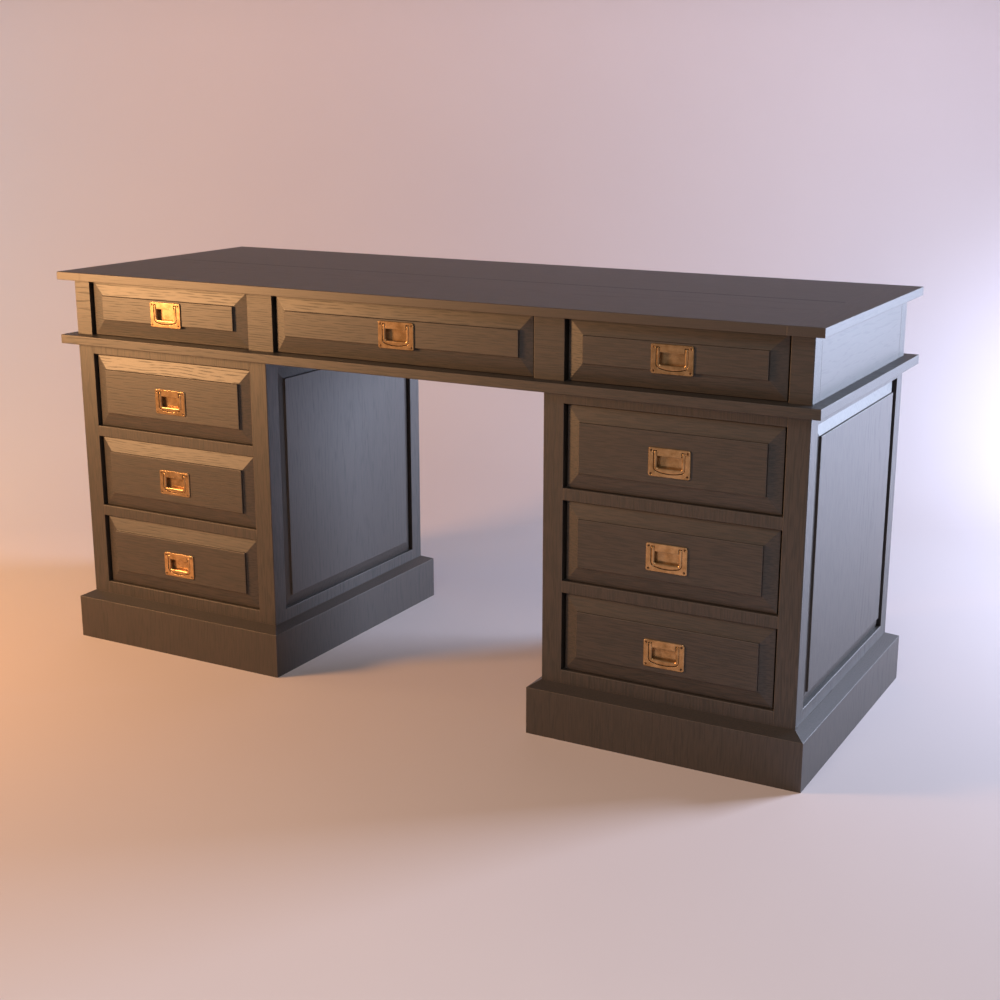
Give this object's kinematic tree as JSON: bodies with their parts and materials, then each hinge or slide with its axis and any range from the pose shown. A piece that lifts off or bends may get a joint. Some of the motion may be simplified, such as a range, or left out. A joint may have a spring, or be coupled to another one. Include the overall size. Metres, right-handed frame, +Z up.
{
  "type": "pedestal desk",
  "caption": "Wooden writing desk: a framed desktop over a drawer frieze and a waist board, on two panelled drawer pedestals with skirting plinths and flush bail pulls.",
  "frame": {"origin": "on the floor below the middle of the desktop", "axes": "+X to the right of a person facing the drawers, +Y from the drawer fronts to the back, +Z up"},
  "size_m": [1.6, 0.6, 0.78],
  "materials": {
    "stained_wood": "brown stained, satin lacquer",
    "secondary_wood": "plain planed wood",
    "brass": "antique satin brass"
  },
  "bodies": {
    "carcass": {"desktop_front_board": "stained_wood", "desktop_rear_board": "stained_wood", "desktop_end_boards": "stained_wood", "frieze_posts": "stained_wood", "frieze_end_panels": "stained_wood", "frieze_back": "stained_wood", "frieze_stiles": "stained_wood", "frieze_partitions": "secondary_wood", "frieze_drawer_guides": "secondary_wood", "waist_board": "stained_wood", "locating_dowels": "secondary_wood", "pedestal_drawer_runners": "secondary_wood", "left_pedestal_posts": "stained_wood", "left_pedestal_frame_rails": "stained_wood", "left_pedestal_side_panels": "stained_wood", "left_pedestal_back_panel": "stained_wood", "left_pedestal_boards": "secondary_wood", "left_pedestal_plinth": "stained_wood", "right_pedestal_posts": "stained_wood", "right_pedestal_frame_rails": "stained_wood", "right_pedestal_side_panels": "stained_wood", "right_pedestal_back_panel": "stained_wood", "right_pedestal_boards": "secondary_wood", "right_pedestal_plinth": "stained_wood"},
    "left_frieze_drawer": {"left_frieze_drawer_front": "stained_wood", "left_frieze_drawer_box": "secondary_wood", "left_frieze_pull_plate": "brass"},
    "left_frieze_bail": {"left_frieze_bail": "brass"},
    "centre_frieze_drawer": {"centre_frieze_drawer_front": "stained_wood", "centre_frieze_drawer_box": "secondary_wood", "centre_frieze_pull_plate": "brass"},
    "centre_frieze_bail": {"centre_frieze_bail": "brass"},
    "right_frieze_drawer": {"right_frieze_drawer_front": "stained_wood", "right_frieze_drawer_box": "secondary_wood", "right_frieze_pull_plate": "brass"},
    "right_frieze_bail": {"right_frieze_bail": "brass"},
    "left_pedestal_upper_drawer": {"left_pedestal_upper_drawer_front": "stained_wood", "left_pedestal_upper_drawer_box": "secondary_wood", "left_pedestal_upper_pull_plate": "brass"},
    "left_pedestal_upper_bail": {"left_pedestal_upper_bail": "brass"},
    "left_pedestal_middle_drawer": {"left_pedestal_middle_drawer_front": "stained_wood", "left_pedestal_middle_drawer_box": "secondary_wood", "left_pedestal_middle_pull_plate": "brass"},
    "left_pedestal_middle_bail": {"left_pedestal_middle_bail": "brass"},
    "left_pedestal_lower_drawer": {"left_pedestal_lower_drawer_front": "stained_wood", "left_pedestal_lower_drawer_box": "secondary_wood", "left_pedestal_lower_pull_plate": "brass"},
    "left_pedestal_lower_bail": {"left_pedestal_lower_bail": "brass"},
    "right_pedestal_upper_drawer": {"right_pedestal_upper_drawer_front": "stained_wood", "right_pedestal_upper_drawer_box": "secondary_wood", "right_pedestal_upper_pull_plate": "brass"},
    "right_pedestal_upper_bail": {"right_pedestal_upper_bail": "brass"},
    "right_pedestal_middle_drawer": {"right_pedestal_middle_drawer_front": "stained_wood", "right_pedestal_middle_drawer_box": "secondary_wood", "right_pedestal_middle_pull_plate": "brass"},
    "right_pedestal_middle_bail": {"right_pedestal_middle_bail": "brass"},
    "right_pedestal_lower_drawer": {"right_pedestal_lower_drawer_front": "stained_wood", "right_pedestal_lower_drawer_box": "secondary_wood", "right_pedestal_lower_pull_plate": "brass"},
    "right_pedestal_lower_bail": {"right_pedestal_lower_bail": "brass"}
  },
  "joints": [
    {"name": "left_frieze_drawer_slide", "type": "slide", "parent": "carcass", "child": "left_frieze_drawer", "axis": [0, -1, 0], "range_m": [0, 0.36]},
    {"name": "left_frieze_bail_hinge", "type": "hinge", "parent": "left_frieze_drawer", "child": "left_frieze_bail", "pos_m": [-0.5385, -0.2775, 0.723], "axis": [-1, 0, 0], "range_deg": [0, 90]},
    {"name": "centre_frieze_drawer_slide", "type": "slide", "parent": "carcass", "child": "centre_frieze_drawer", "axis": [0, -1, 0], "range_m": [0, 0.36]},
    {"name": "centre_frieze_bail_hinge", "type": "hinge", "parent": "centre_frieze_drawer", "child": "centre_frieze_bail", "pos_m": [0, -0.2775, 0.723], "axis": [-1, 0, 0], "range_deg": [0, 90]},
    {"name": "right_frieze_drawer_slide", "type": "slide", "parent": "carcass", "child": "right_frieze_drawer", "axis": [0, -1, 0], "range_m": [0, 0.36]},
    {"name": "right_frieze_bail_hinge", "type": "hinge", "parent": "right_frieze_drawer", "child": "right_frieze_bail", "pos_m": [0.5385, -0.2775, 0.723], "axis": [-1, 0, 0], "range_deg": [0, 90]},
    {"name": "left_pedestal_upper_drawer_slide", "type": "slide", "parent": "carcass", "child": "left_pedestal_upper_drawer", "axis": [0, -1, 0], "range_m": [0, 0.36]},
    {"name": "left_pedestal_upper_bail_hinge", "type": "hinge", "parent": "left_pedestal_upper_drawer", "child": "left_pedestal_upper_bail", "pos_m": [-0.5385, -0.2775, 0.548], "axis": [-1, 0, 0], "range_deg": [0, 90]},
    {"name": "left_pedestal_middle_drawer_slide", "type": "slide", "parent": "carcass", "child": "left_pedestal_middle_drawer", "axis": [0, -1, 0], "range_m": [0, 0.36]},
    {"name": "left_pedestal_middle_bail_hinge", "type": "hinge", "parent": "left_pedestal_middle_drawer", "child": "left_pedestal_middle_bail", "pos_m": [-0.5385, -0.2775, 0.381], "axis": [-1, 0, 0], "range_deg": [0, 90]},
    {"name": "left_pedestal_lower_drawer_slide", "type": "slide", "parent": "carcass", "child": "left_pedestal_lower_drawer", "axis": [0, -1, 0], "range_m": [0, 0.36]},
    {"name": "left_pedestal_lower_bail_hinge", "type": "hinge", "parent": "left_pedestal_lower_drawer", "child": "left_pedestal_lower_bail", "pos_m": [-0.5385, -0.2775, 0.207], "axis": [-1, 0, 0], "range_deg": [0, 90]},
    {"name": "right_pedestal_upper_drawer_slide", "type": "slide", "parent": "carcass", "child": "right_pedestal_upper_drawer", "axis": [0, -1, 0], "range_m": [0, 0.36]},
    {"name": "right_pedestal_upper_bail_hinge", "type": "hinge", "parent": "right_pedestal_upper_drawer", "child": "right_pedestal_upper_bail", "pos_m": [0.5385, -0.2775, 0.548], "axis": [-1, 0, 0], "range_deg": [0, 90]},
    {"name": "right_pedestal_middle_drawer_slide", "type": "slide", "parent": "carcass", "child": "right_pedestal_middle_drawer", "axis": [0, -1, 0], "range_m": [0, 0.36]},
    {"name": "right_pedestal_middle_bail_hinge", "type": "hinge", "parent": "right_pedestal_middle_drawer", "child": "right_pedestal_middle_bail", "pos_m": [0.5385, -0.2775, 0.381], "axis": [-1, 0, 0], "range_deg": [0, 90]},
    {"name": "right_pedestal_lower_drawer_slide", "type": "slide", "parent": "carcass", "child": "right_pedestal_lower_drawer", "axis": [0, -1, 0], "range_m": [0, 0.36]},
    {"name": "right_pedestal_lower_bail_hinge", "type": "hinge", "parent": "right_pedestal_lower_drawer", "child": "right_pedestal_lower_bail", "pos_m": [0.5385, -0.2775, 0.207], "axis": [-1, 0, 0], "range_deg": [0, 90]}
  ]
}
